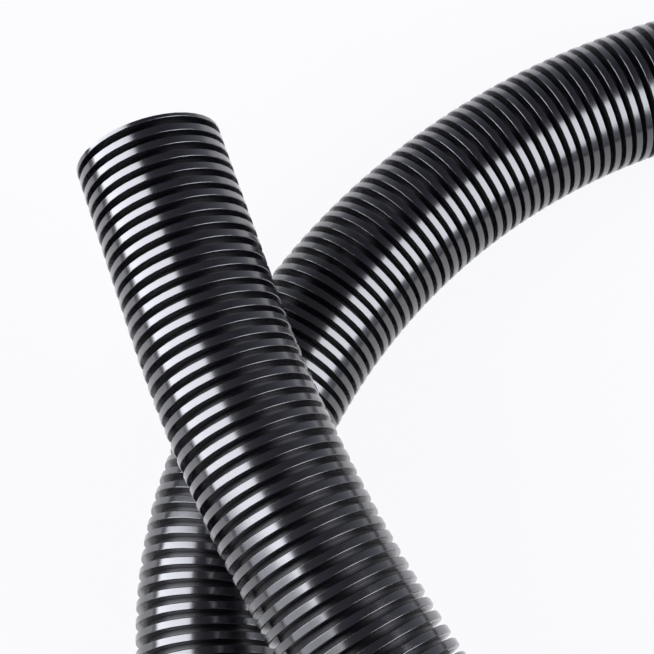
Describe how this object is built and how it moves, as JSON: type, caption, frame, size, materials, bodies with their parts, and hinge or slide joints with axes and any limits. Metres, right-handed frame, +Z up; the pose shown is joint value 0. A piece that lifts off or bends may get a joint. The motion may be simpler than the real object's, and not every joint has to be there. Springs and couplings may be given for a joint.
{
  "type": "corrugated conduit",
  "caption": "Flexible black corrugated plastic conduit lying in an open loop, its raised free end crossing over the bend at its tail.",
  "frame": {"origin": "on the floor under the middle of the loop's bounding box", "axes": "+Z up from the floor, +Y along the straight tail and away from its cut end, +X to the right of the tail, towards the loop"},
  "size_m": [0.2989, 0.2816, 0.0675],
  "materials": {
    "conduit": "gloss"
  },
  "bodies": {
    "root": {"conduit": "conduit"}
  },
  "joints": []
}
